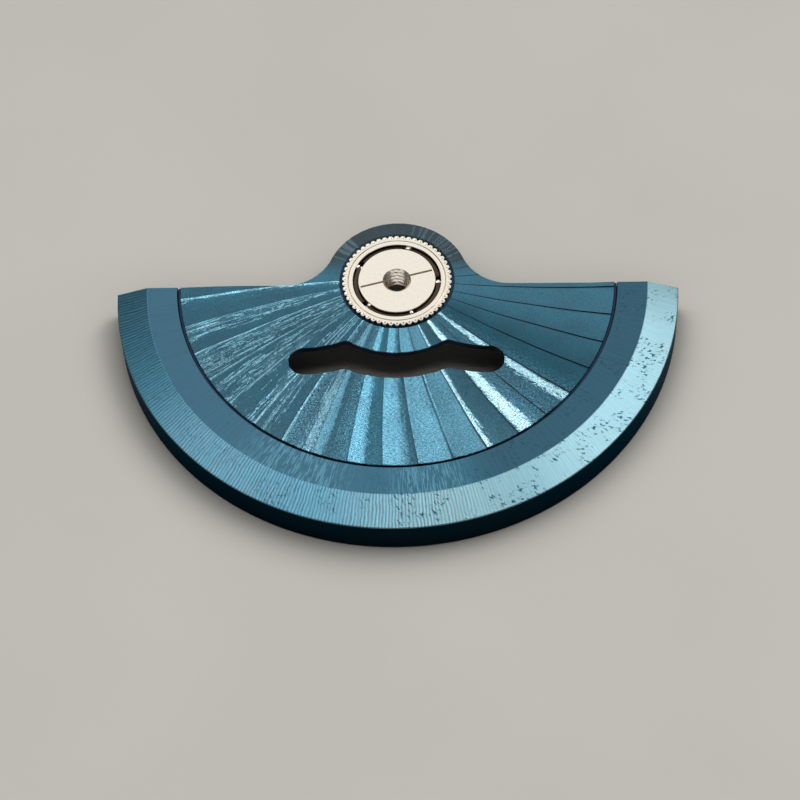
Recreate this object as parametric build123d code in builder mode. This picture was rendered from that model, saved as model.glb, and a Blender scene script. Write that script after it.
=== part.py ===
from build123d import *
import os
from math import acos, asin, atan2, cos, degrees, hypot, radians, sin, sqrt

os.makedirs("parts", exist_ok=True)

# Automatic watch rotor, in millimetres, built up round its ball bearing.
# The origin is on the bearing axis, in the plane of the seat under the core.
# +Z points up out of the movement, and the weight hangs towards -Y at rest.

# Heights above the seat, and the overrun that every cut shares
core_height = 1.25
plate_recess = 0.05
ball_height = 0.70
cut_overrun = 0.5

# Rotor plate: a half disc with a hub lobe, joined to its straight edge by two webs
plate_thickness = 0.32
chord_drop = 0.18
lobe_wall = 0.69
web_radius = 2.40
counterbore_depth = 0.15

# Pleats pressed into the plate: each falls from its crest to the foot of the next
pleat_count = 40
pleat_start_angle = -2.5
pleat_skew = 0.11
pleat_inner_reach = 2.0
pleat_inner_depth = 0.02
pleat_outer_depth = 0.08
pleat_middle_share = 0.8

# Moustache slot: a middle stretch round the hub, and a wing on each side
slot_inner_radius = 4.07
slot_outer_radius = 5.45
wing_centre_x = 4.35
wing_centre_y = 1.30
wing_inner_radius = 5.05
wing_outer_radius = 6.50
wing_end_x = 4.25
slot_peak_round = 0.35
slot_cusp_round = 0.20
cusp_reach = 0.02

# Rim weight: a heavy half ring with a ledge under the plate, and the groove between them
rim_radius = 13.2
rim_thickness = 2.25
rim_chord_step = 0.05
rim_foot_chamfer = 0.08
bevel_width = 1.45
bevel_drop = 0.55
band_width = 1.44
groove_width = 0.09
groove_depth = 0.16
plate_play = 0.01
ledge_width = 0.77

# Ball bearing: every radius in it follows from the outer race
race_outer_radius = 2.30
race_wall = 0.23
race_lift = 0.22
ball_count = 5
ball_radius = 0.24
ball_standoff = 0.125
ball_start_angle = 5.0
ball_play = 0.012
groove_land = 0.015

# Threaded core and the lower cone that is pressed on its stem
thread_radius = 0.63
thread_lead_in = 0.05
core_edge_chamfer = 0.02
cone_wall = 0.57
cone_lift = 0.25
mark_width = 0.05
mark_depth = 0.03
mark_angle = 15.4
mark_offset = 0.10
mark_margin = 0.07

# Ball cage: a ring with an open pocket for each ball
cage_wall = 0.16
cage_lift = 0.29
cage_height = 0.80
pocket_play = 0.018
pocket_mouth = 0.41

# Drive pinion: a toothed sleeve whose top edge is punched over the plate
neck_wall = 0.12
sleeve_wall = 0.20
sleeve_lift = 0.12
shelf_width = 0.15
shoulder_thickness = 0.08
tooth_count = 44
tooth_root_wall = 0.20
tooth_face = 0.52
tooth_root_clearance = 0.03
tooth_tip_share = 0.42
tooth_root_share = 1.45
lip_overhang = 0.085
lip_gap = 0.185
bump_count = 54
bump_start_angle = 3.9
bump_sides = 6
bump_radius = 0.152
bump_sink = 0.05

# Heights and radii that follow from the sizes above
plate_top = core_height - plate_recess
plate_bottom = plate_top - plate_thickness
counterbore_floor = plate_top - counterbore_depth
rim_bottom = plate_top - rim_thickness
band_outer_radius = rim_radius - bevel_width
band_inner_radius = band_outer_radius - band_width
groove_radius = band_inner_radius - groove_width
plate_radius = band_inner_radius - plate_play
rim_inner_radius = groove_radius - ledge_width

race_inner_radius = race_outer_radius - race_wall
ball_circle_radius = race_inner_radius - ball_standoff
core_radius = ball_circle_radius - ball_standoff
stem_radius = core_radius - cone_wall
neck_radius = race_outer_radius + neck_wall
lip_radius = neck_radius + lip_overhang
counterbore_radius = lip_radius + lip_gap
lobe_radius = counterbore_radius + lobe_wall

# The plate's webs touch the straight edge and the lobe
web_centre_y = web_radius - chord_drop
web_centre_x = sqrt((lobe_radius + web_radius) ** 2 - web_centre_y**2)
web_angle = degrees(atan2(web_centre_y, web_centre_x))
corner_angle = degrees(asin(chord_drop / plate_radius))

with BuildPart() as pleat_tool:
    # One pleat, cut along its foot line, which passes beside the hub's centre
    pleat_step = radians(360 / pleat_count)
    reaches = (pleat_inner_reach, plate_radius + cut_overrun)
    depths = (pleat_inner_depth, pleat_outer_depth)
    for reach, depth in zip(reaches, depths):
        foot_y = -pleat_skew
        along = (reach + pleat_skew * sin(pleat_step)) / cos(pleat_step)
        crest_y = -along * sin(pleat_step) - pleat_skew * cos(pleat_step)
        middle_y = (foot_y + crest_y) / 2
        section = Plane(origin=(reach, 0, plate_top), x_dir=(0, 1, 0), z_dir=(1, 0, 0))
        with BuildSketch(section):
            with BuildLine():
                scoop = ThreePointArc(
                    (crest_y, 0),
                    (middle_y, -depth * pleat_middle_share),
                    (foot_y, -depth),
                )
                Polyline(
                    scoop @ 1,
                    (foot_y, cut_overrun),
                    (crest_y, cut_overrun),
                    scoop @ 0,
                )
            make_face()
    loft(ruled=True)

with BuildPart() as rotor_plate:
    with BuildSketch(Plane.XY.offset(plate_bottom)):
        with BuildLine():
            rim_arc = CenterArc((0, 0), plate_radius, -90, 90 - corner_angle)
            web_arc = CenterArc((web_centre_x, web_centre_y), web_radius, 270, web_angle - 90)
            Line(rim_arc @ 1, web_arc @ 0)
            CenterArc((0, 0), lobe_radius, web_angle, 90 - web_angle)
            mirror(about=Plane.YZ)
        make_face()
    extrude(amount=plate_thickness)
    # Pleats, all round the hub
    with PolarLocations(0, pleat_count, start_angle=pleat_start_angle):
        add(pleat_tool.part, mode=Mode.SUBTRACT)
    # Rebate round the curved edge, which shows as a groove beside the rim's band
    with BuildSketch(Plane.XY.offset(plate_top - groove_depth)):
        Circle(plate_radius + cut_overrun)
        Circle(groove_radius, mode=Mode.SUBTRACT)
    extrude(amount=groove_depth + cut_overrun, mode=Mode.SUBTRACT)
    # Moustache slot
    span = hypot(wing_centre_x, wing_centre_y)
    lean = atan2(wing_centre_y, wing_centre_x)
    wing_middle_radius = (wing_inner_radius + wing_outer_radius) / 2
    end_angle = -90 - degrees(asin((wing_centre_x - wing_end_x) / wing_middle_radius))
    with BuildSketch(Plane.XY.offset(plate_bottom)) as slot:
        with BuildLine():
            joins = []
            wings = []
            sides = ((slot_inner_radius, wing_inner_radius), (slot_outer_radius, wing_outer_radius))
            for middle_radius, wing_radius in sides:
                reach = (middle_radius**2 - wing_radius**2 + span**2) / (2 * span)
                turn = degrees(lean - acos(reach / middle_radius))
                middle = CenterArc((0, 0), middle_radius, -90, turn + 90)
                joins.append(middle @ 1)
                across = joins[-1].X - wing_centre_x
                down = joins[-1].Y - wing_centre_y
                wing_start = degrees(atan2(down, across))
                wing_turn = end_angle - wing_start
                wing_centre = (wing_centre_x, wing_centre_y)
                wings.append(CenterArc(wing_centre, wing_radius, wing_start, wing_turn))
            end_middle = (wings[0] @ 1 + wings[1] @ 1) / 2
            end_reach = (wing_outer_radius - wing_inner_radius) / 2
            tip = end_middle + (wings[0] % 1) * end_reach
            ThreePointArc(wings[0] @ 1, tip, wings[1] @ 1)
            mirror(about=Plane.YZ)
        make_face()
        for joined, rounding in zip(joins, (slot_peak_round, slot_cusp_round)):
            level = slot.vertices().filter_by_position(
                Axis.Y, joined.Y - cusp_reach, joined.Y + cusp_reach
            )
            fillet(level.filter_by(lambda v: abs(abs(v.X) - joined.X) < cusp_reach), rounding)
    extrude(amount=plate_thickness + cut_overrun, mode=Mode.SUBTRACT)
    # Seat for the punched lip, and the bore for the pinion's neck
    with Locations((0, 0, plate_top)):
        CounterBoreHole(neck_radius, counterbore_radius, counterbore_depth)
rotor_plate.part.label = "rotor_plate"

with BuildPart() as rim_weight:
    with BuildSketch(Plane.XZ):
        with BuildLine():
            Polyline(
                (rim_inner_radius, rim_bottom),
                (rim_inner_radius, plate_bottom),
                (band_inner_radius, plate_bottom),
                (band_inner_radius, plate_top),
                (band_outer_radius, plate_top),
                (rim_radius, plate_top - bevel_drop),
                (rim_radius, rim_bottom + rim_foot_chamfer),
                (rim_radius - rim_foot_chamfer, rim_bottom),
                close=True,
            )
        make_face()
    revolve(axis=Axis.Z)
    split(bisect_by=Plane.XZ.offset(chord_drop + rim_chord_step), keep=Keep.TOP)
rim_weight.part.label = "rim_weight"

# Ball contact: both races meet the balls on faces at 45 degrees to the axis
contact_reach = (ball_radius + ball_play) * sqrt(2)
land_reach = ball_radius + groove_land
cone_rise = contact_reach - ball_standoff
land_rise = contact_reach - land_reach

with BuildPart() as threaded_core:
    with BuildSketch(Plane.XZ):
        with BuildLine():
            Polyline(
                (thread_radius, 0),
                (stem_radius, 0),
                (stem_radius, ball_height),
                (ball_circle_radius - land_reach, ball_height),
                (ball_circle_radius - land_reach, ball_height + land_rise),
                (core_radius, ball_height + cone_rise),
                (core_radius, core_height - core_edge_chamfer),
                (core_radius - core_edge_chamfer, core_height),
                (thread_radius + thread_lead_in, core_height),
                (thread_radius, core_height - thread_lead_in),
                close=True,
            )
        make_face()
    revolve(axis=Axis.Z)
    # Fine line marked across the top, broken by the hole
    with BuildSketch(Plane.XY.offset(core_height)):
        mark_reach = core_radius - mark_margin
        mark_lean = radians(mark_angle)
        with Locations((-mark_offset * sin(mark_lean), mark_offset * cos(mark_lean))):
            Rectangle(mark_reach * 2, mark_width, rotation=mark_angle)
    extrude(amount=-mark_depth, mode=Mode.SUBTRACT)
threaded_core.part.label = "threaded_core"

with BuildPart() as lower_cone:
    with BuildSketch(Plane.XZ):
        with BuildLine():
            Polyline(
                (stem_radius, cone_lift),
                (core_radius, cone_lift),
                (core_radius, ball_height - cone_rise),
                (ball_circle_radius - land_reach, ball_height - land_rise),
                (ball_circle_radius - land_reach, ball_height),
                (stem_radius, ball_height),
                close=True,
            )
        make_face()
    revolve(axis=Axis.Z)
lower_cone.part.label = "lower_cone"

with BuildPart() as outer_race:
    with BuildSketch(Plane.XZ):
        with BuildLine():
            Polyline(
                (race_outer_radius, race_lift),
                (race_outer_radius, core_height),
                (race_inner_radius, core_height),
                (race_inner_radius, ball_height + cone_rise),
                (ball_circle_radius + land_reach, ball_height + land_rise),
                (ball_circle_radius + land_reach, ball_height - land_rise),
                (race_inner_radius, ball_height - cone_rise),
                (race_inner_radius, race_lift),
                close=True,
            )
        make_face()
    revolve(axis=Axis.Z)
outer_race.part.label = "outer_race"

with BuildPart() as ball_cage:
    with BuildSketch(Plane.XY.offset(cage_lift)):
        Circle(ball_circle_radius + cage_wall / 2)
        Circle(ball_circle_radius - cage_wall / 2, mode=Mode.SUBTRACT)
    extrude(amount=cage_height)
    # A round pocket for each ball, with a mouth that is narrower than the ball
    ball_angles = [ball_start_angle + 360 / ball_count * n for n in range(ball_count)]
    cage_top = cage_lift + cage_height
    for angle in ball_angles:
        outward = (cos(radians(angle)), sin(radians(angle)), 0)
        along = (-sin(radians(angle)), cos(radians(angle)), 0)
        with BuildSketch(Plane(origin=(0, 0, 0), x_dir=along, z_dir=outward)):
            with Locations((0, ball_height)):
                Circle(ball_radius + pocket_play)
            with Locations((0, (ball_height + cage_top) / 2)):
                Rectangle(pocket_mouth, cage_top - ball_height + pocket_play)
        extrude(amount=ball_circle_radius + cage_wall, mode=Mode.SUBTRACT)
ball_cage.part.label = "ball_cage"

# The module is set by the root circle, which leaves a wall round the sleeve
sleeve_radius = race_outer_radius + sleeve_wall
tooth_root_radius = sleeve_radius + tooth_root_wall
tooth_module = (tooth_root_radius + tooth_root_clearance) / (tooth_count / 2 - 1)
tooth_pitch_radius = tooth_module * tooth_count / 2
tooth_tip_radius = tooth_pitch_radius + tooth_module

with BuildSketch() as tooth:
    # One tooth, rooted a little inside the root circle
    half_tooth = radians(360 / tooth_count / 4)
    foot_radius = tooth_root_radius - tooth_root_clearance
    foot_half = foot_radius * half_tooth * tooth_root_share
    pitch_half = tooth_pitch_radius * half_tooth
    tip_half = tooth_tip_radius * half_tooth * tooth_tip_share
    with BuildLine():
        flank = Polyline(
            (foot_radius, foot_half),
            (tooth_pitch_radius, pitch_half),
            (tooth_tip_radius, tip_half),
        )
        Line(flank @ 1, (tooth_tip_radius, 0))
        Line(flank @ 0, (foot_radius, 0))
        mirror(about=Plane.XZ)
    make_face()

with BuildPart() as drive_pinion:
    shoulder_bottom = plate_bottom - shoulder_thickness
    # Sleeve, shoulder under the plate, neck through it and lip over it
    with BuildSketch(Plane.XZ):
        with BuildLine():
            Polyline(
                (0, sleeve_lift),
                (sleeve_radius, sleeve_lift),
                (sleeve_radius, shoulder_bottom),
                (tooth_root_radius, shoulder_bottom),
                (tooth_root_radius, plate_bottom),
                (neck_radius, plate_bottom),
                (neck_radius, core_height),
                (0, core_height),
                close=True,
            )
        make_face()
    revolve(axis=Axis.Z)
    # Teeth, with flanks that bend at the pitch circle
    with BuildSketch(Plane.XY.offset(shoulder_bottom - tooth_face)):
        Circle(tooth_root_radius)
        with PolarLocations(0, tooth_count):
            add(tooth.sketch)
    extrude(amount=tooth_face)
    # Serrated lip: each bump is the outer half of a hexagon that meets its neighbours
    with BuildSketch(Plane.XY.offset(counterbore_floor)):
        Circle(lip_radius - bump_sink)
        with PolarLocations(lip_radius - bump_sink, bump_count, start_angle=bump_start_angle):
            RegularPolygon(bump_radius, bump_sides, rotation=180 / bump_sides)
    extrude(amount=core_height - counterbore_floor)
    # Stepped bore for the outer race
    race_shelf_radius = race_outer_radius - shelf_width
    with BuildSketch(Plane.XZ):
        with BuildLine():
            Polyline(
                (0, sleeve_lift - cut_overrun),
                (race_shelf_radius, sleeve_lift - cut_overrun),
                (race_shelf_radius, race_lift),
                (race_outer_radius, race_lift),
                (race_outer_radius, core_height + cut_overrun),
                (0, core_height + cut_overrun),
                close=True,
            )
        make_face()
    revolve(axis=Axis.Z, mode=Mode.SUBTRACT)
drive_pinion.part.label = "drive_pinion"

pieces = [rotor_plate, rim_weight, drive_pinion, outer_race, threaded_core, lower_cone, ball_cage]

# Balls, spaced evenly round the ball circle
for number, angle in enumerate(ball_angles, start=1):
    ball_x = ball_circle_radius * cos(radians(angle))
    ball_y = ball_circle_radius * sin(radians(angle))
    with BuildPart() as ball:
        with Locations((ball_x, ball_y, ball_height)):
            Sphere(ball_radius)
    ball.part.label = f"ball_{number}"
    pieces.append(ball)

for piece in pieces:
    export_step(piece.part, f"parts/{piece.part.label}.step")
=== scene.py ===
from functools import cache
import math

import bmesh
import bpy
from mathutils import Matrix, Vector, kdtree


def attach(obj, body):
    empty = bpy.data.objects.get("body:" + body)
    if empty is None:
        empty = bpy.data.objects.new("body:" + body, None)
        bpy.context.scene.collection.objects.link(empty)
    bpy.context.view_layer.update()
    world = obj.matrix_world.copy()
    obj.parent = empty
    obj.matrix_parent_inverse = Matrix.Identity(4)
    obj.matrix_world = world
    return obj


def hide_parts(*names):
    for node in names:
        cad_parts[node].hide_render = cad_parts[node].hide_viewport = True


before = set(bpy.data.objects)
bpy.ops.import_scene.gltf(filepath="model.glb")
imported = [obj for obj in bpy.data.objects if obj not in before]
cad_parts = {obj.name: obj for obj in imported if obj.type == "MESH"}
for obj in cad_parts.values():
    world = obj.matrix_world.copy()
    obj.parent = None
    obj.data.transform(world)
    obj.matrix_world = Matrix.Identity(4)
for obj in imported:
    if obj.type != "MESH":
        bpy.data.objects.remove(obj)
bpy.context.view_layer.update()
mm = 0.001
plateTop = 1.20  # height of the flat band above the bearing's seat, in mm
print("frame loaded")


def addObject(name, data):
    made = bpy.data.objects.new(name, data)
    bpy.context.scene.collection.objects.link(made)
    return made


def aim(piece, place, across, up, back):
    facing = Matrix((across, up, back)).transposed().to_4x4()
    piece.matrix_world = Matrix.Translation(place * mm) @ facing


# Camera, fitted to the photograph's perspective

cameraView = {
    "focalLength": 132.636,  # mm, on a 36 mm sensor
    "distance": 138.429,  # mm from the hub
    "elevation": 56.657,  # degrees above the floor
    "azimuth": 2.92,  # degrees round the hub
    "roll": -3.136,  # degrees
    "aimAcross": 0.145,  # mm, how far the view's middle lies from the hub
    "aimUp": -5.600,
}


def makeCamera(view):
    turn = Matrix.Rotation(math.radians(view["azimuth"]), 3, "Z")
    rise, roll = math.radians(view["elevation"]), math.radians(view["roll"])
    flatRight = turn @ Vector((1, 0, 0))
    flatUp = turn @ Vector((0, math.sin(rise), math.cos(rise)))
    back = turn @ Vector((0, -math.cos(rise), math.sin(rise)))
    right = math.cos(roll) * flatRight + math.sin(roll) * flatUp
    up = -math.sin(roll) * flatRight + math.cos(roll) * flatUp
    hub = Vector((0, 0, plateTop))
    place = hub + right * view["aimAcross"] + up * view["aimUp"] + back * view["distance"]
    data = bpy.data.cameras.new("photoCamera")
    data.lens = view["focalLength"]
    data.sensor_width = 36
    data.clip_start = 0.005
    data.clip_end = 10
    camera = addObject("photoCamera", data)
    aim(camera, place, right, up, back)
    bpy.context.scene.camera = camera


makeCamera(cameraView)
print("camera placed")


# Nodes: a wire is one output of a node, and arithmetic on wires adds Math nodes

def arithmetic(operation, swap=False):
    # A method that adds a Math node for a wire and another term
    return lambda wire, other: maths(operation, *((other, wire) if swap else (wire, other)))


class nodeWire:
    def __init__(self, tree, socket):
        self.tree = tree
        self.socket = socket

    __add__, __radd__ = arithmetic("ADD"), arithmetic("ADD", True)
    __sub__, __rsub__ = arithmetic("SUBTRACT"), arithmetic("SUBTRACT", True)
    __truediv__, __rtruediv__ = arithmetic("DIVIDE"), arithmetic("DIVIDE", True)
    __mul__ = arithmetic("MULTIPLY")

    def __abs__(self):
        return maths("ABSOLUTE", self)

    def remap(self, low, high, newLow=0.0, newHigh=1.0, smooth=True):
        return addNode(
            self.tree, "ShaderNodeMapRange",
            {"interpolation_type": "SMOOTHSTEP" if smooth else "LINEAR"},
            {
                "Value": self, "From Min": low, "From Max": high,
                "To Min": newLow, "To Max": newHigh,
            },
        )

    def byDegrees(self, low, high, newLow=0.0, newHigh=1.0):
        return self.remap(math.radians(low), math.radians(high), newLow, newHigh)


def feedInputs(node, terms):
    # A wire is linked to its input, and a number, colour or vector is set on it
    for name, term in terms.items():
        target = node.inputs[name]
        if isinstance(term, nodeWire):
            term.tree.links.new(term.socket, target)
        elif target.type == "RGBA":
            target.default_value = (*term, 1)
        else:
            target.default_value = term


def addNode(tree, kind, options=None, terms=None, output=0):
    made = tree.nodes.new(kind)
    for name, value in (options or {}).items():
        setattr(made, name, value)
    feedInputs(made, terms or {})
    if isinstance(output, tuple):
        return [nodeWire(tree, made.outputs[name]) for name in output]
    return nodeWire(tree, made.outputs[output])


def maths(operation, *terms, kind="ShaderNodeMath", output=0):
    tree = next(term.tree for term in terms if isinstance(term, nodeWire))
    return addNode(tree, kind, {"operation": operation}, dict(enumerate(terms)), output)


def vectorMaths(operation, *terms, output=0):
    return maths(operation, *terms, kind="ShaderNodeVectorMath", output=output)


def scaled(vector, factor):
    tree = (factor if isinstance(factor, nodeWire) else vector).tree
    return addNode(
        tree, "ShaderNodeVectorMath", {"operation": "SCALE"}, {0: vector, "Scale": factor}
    )


def highest(wires):
    top = wires[0]
    for wire in wires[1:]:
        top = maths("MAXIMUM", top, wire)
    return top


def blend(share, first, second):
    return addNode(
        share.tree, "ShaderNodeMix", {"data_type": "RGBA"}, {0: share, 6: first, 7: second}, 2
    )


def noise(place, scale, detail, roughness=0.5, lacunarity=2.0):
    return addNode(
        place.tree, "ShaderNodeTexNoise", {"noise_dimensions": "3D"},
        {
            "Vector": place, "Scale": scale, "Detail": detail, "Roughness": roughness,
            "Lacunarity": lacunarity,
        },
    )


def splitPlace(place):
    return addNode(place.tree, "ShaderNodeSeparateXYZ", None, {"Vector": place}, ("X", "Y", "Z"))


def turned(place, degrees):
    return addNode(
        place.tree, "ShaderNodeVectorRotate", {"rotation_type": "Z_AXIS"},
        {"Vector": place, "Angle": math.radians(degrees)},
    )


def bumped(height):
    return addNode(
        height.tree, "ShaderNodeBump", None, {"Strength": 1.0, "Distance": mm, "Height": height}
    )


def objectMillimetres(tree):
    return scaled(addNode(tree, "ShaderNodeTexCoord", output="Object"), 1 / mm)


def placeAndTurn(tree):
    # Place in mm, how far it lies above the hub in the picture, and its azimuth
    place = objectMillimetres(tree)
    east, north, _ = splitPlace(place)
    return place, north, maths("ARCTAN2", north, east)


def between(share, ends, smooth=False):
    return share.remap(0.0, 1.0, *ends, smooth=smooth)


def nearAzimuth(turn, azimuth, half):
    # Mask of the places within half degrees of an azimuth
    return abs(turn - math.radians(azimuth)).byDegrees(half, half * 0.35)


def newGroup(name, inputs, outputs):
    # Each input has its default, where None makes it a vector; each output has its kind
    group = bpy.data.node_groups.new(name, "ShaderNodeTree")
    for title, value in inputs.items():
        kind = "NodeSocketVector" if value is None else "NodeSocketFloat"
        socket = group.interface.new_socket(title, in_out="INPUT", socket_type=kind)
        if value is not None:
            socket.default_value = value
    for title, kind in outputs.items():
        group.interface.new_socket(title, in_out="OUTPUT", socket_type=kind)
    start = group.nodes.new("NodeGroupInput")
    end = group.nodes.new("NodeGroupOutput")
    return group, end, [nodeWire(group, start.outputs[title]) for title in inputs]


def makeBrushGroup():
    # Height of scratches that run along V, with U and V in mm
    group, end, (place, width, length, seed) = newGroup(
        "brushedGrain", {"Place": None, "Width": 0.1, "Length": 1.0, "Seed": 0.0},
        {"Height": "NodeSocketFloat", "Fine": "NodeSocketFloat"},
    )
    across, along, _ = splitPlace(place)
    stretched = addNode(
        group, "ShaderNodeCombineXYZ", None, {"X": across / width, "Y": along / length, "Z": seed}
    )
    feedInputs(end, {
        "Height": noise(stretched, 0.5, 2.0, 0.6, 2.3), "Fine": noise(stretched, 1.4, 1.0),
    })
    return group


def makeSpeckGroup():
    # Small marks of dirt and wear, as a mask
    group, end, (place, size, amount) = newGroup(
        "specks", {"Place": None, "Size": 0.1, "Amount": 0.3}, {"Mask": "NodeSocketFloat"}
    )
    edge = 0.78 - amount * 0.3
    feedInputs(end, {"Mask": noise(place, 1.0 / size, 3.0, 0.65).remap(edge, edge + 0.06)})
    return group


def makeLeanGroup():
    # Leans the surface normal by a slope along the tangent and a slope across it
    group, end, (tangent, along, across) = newGroup(
        "leanedNormal", {"Tangent": None, "Along": 0.0, "Across": 0.0},
        {"Normal": "NodeSocketVector"},
    )
    facing = addNode(group, "ShaderNodeNewGeometry", output="Normal")
    side = vectorMaths("CROSS_PRODUCT", facing, tangent)
    slope = vectorMaths("ADD", scaled(tangent, along), scaled(side, across))
    feedInputs(end, {"Normal": vectorMaths("NORMALIZE", vectorMaths("ADD", slope, facing))})
    return group


brushGroup = makeBrushGroup()
speckGroup = makeSpeckGroup()
leanGroup = makeLeanGroup()


def brush(place, width, length, seed):
    return addNode(
        place.tree, "ShaderNodeGroup", {"node_tree": brushGroup},
        {"Place": place, "Width": width, "Length": length, "Seed": seed}, ("Height", "Fine"),
    )


def specks(place, size, amount):
    return addNode(
        place.tree, "ShaderNodeGroup", {"node_tree": speckGroup},
        {"Place": place, "Size": size, "Amount": amount},
    )


def newMaterial(name):
    material = bpy.data.materials.new(name)
    material.use_nodes = True
    tree = material.node_tree
    return material, tree, tree.nodes["Principled BSDF"]


# Blued fan: fine grain across each pleat, and ripples that lean off the radius; its
# highlights and shade are painted into the colour

# Each turn is a pair of azimuths, in degrees, where a change starts and where it is full
fanFinish = {
    "blue": (0.013, 0.098, 0.150),
    # The foot colour paints shade along the foot of each step, and colours dirt specks
    "foot": (0.007, 0.048, 0.074),
    "lobe": (0.009, 0.026, 0.035),
    "lobeShadeFrom": (0.1, 1.6),  # mm above the hub, where the lobe's painted shade starts and is full
    "roughness": 0.18,
    "leftTurn": (-95, -150),
    "openTurn": (-26, -40),
    "pleatTurn": 0.157,  # a pleat's width in radians
    "pleatShift": 7.3,  # mm between the grain of one pleat and the next
    # Width and length in mm, and seed
    "mottle": (0.034, 0.11, 3.0),
    "streaks": (0.055, 1.3, 9.0),
    "grain": (0.22, 0.016, 5.0),
    "mottleLean": 32,  # degrees off the radius
    "grainSlope": (0.05, 0.30),  # right side, all the rest
    "mottleSlope": (0.05, 0.12),  # right side, left side
    "streakSlope": (0.02, 0.08),
    "mottleRagged": (0.045, 0.055),
    "streakRagged": (0.03, 0.17),
    "speckSize": 0.09,
    "speckAmount": 0.35,
    "coatRoughness": 0.15,
    "coatTurns": ((-60, -36, 0.8, 0.32), (-36, -5, 1.0, 2.5)),
    "paintedFootShade": (0.91, 0.985),  # share of the pleat where the painted foot shade starts and is full
    "paintedFootShadeLeft": 0.6,  # strength of the painted foot shade on the left
    "paintedCrestLine": (0.085, 0.030),  # share where the painted crest highlight ends and is full
    "paintedCrestTurn": (-108, -118),
    # Colours of the painted highlights on the right and on the left, and where they change
    "polished": (0.38, 0.67, 0.79),
    "paintedHighlightLeft": (0.27, 0.58, 0.72),
    "paintedHighlightTurn": (-98, -80),
    # Painted highlights lie where a pleat's slope suits one of these ways of the light:
    # azimuth in degrees, half width as a slope, strength, and azimuth of the first pleat
    "paintedHighlightReach": 0.28,
    "paintedHighlightWays": (
        (-43, 0.016, 1.0, 0),
        (-40, 0.040, 1.0, -48),
        (-115, 0.017, 0.7, 0),
        (-133, 0.011, 1.0, 0),
        (-142.5, 0.010, 1.0, 0),
        (-150, 0.010, 1.0, 0),
    ),
    # Painted sheen: a lighter blue where a pleat's slope suits a way of the light, between set
    # azimuths
    "brushGrainAndPaintedSheen": (0.130, 0.390, 0.540),
    "paintedSheenWay": (-83.3, 0.161),
    "paintedSheenTurns": ((-60, -76), (-121, -112)),
    "tilt": (0.0963, -0.1757, 0.0689),  # slope across a pleat, as a quadratic of the share
    # Painted shading: how much lighter or darker the pleats are by azimuth
    "paintedShadingTurns": ((-60, -36, 1.0, 0.6), (-36, -5, 1.0, 1.9), (-145, -165, 1.0, 1.2)),
    "paintedMiddleGlow": (-99, 13, 0.35),  # painted glow: azimuth and half width in degrees, and strength
}


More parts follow.
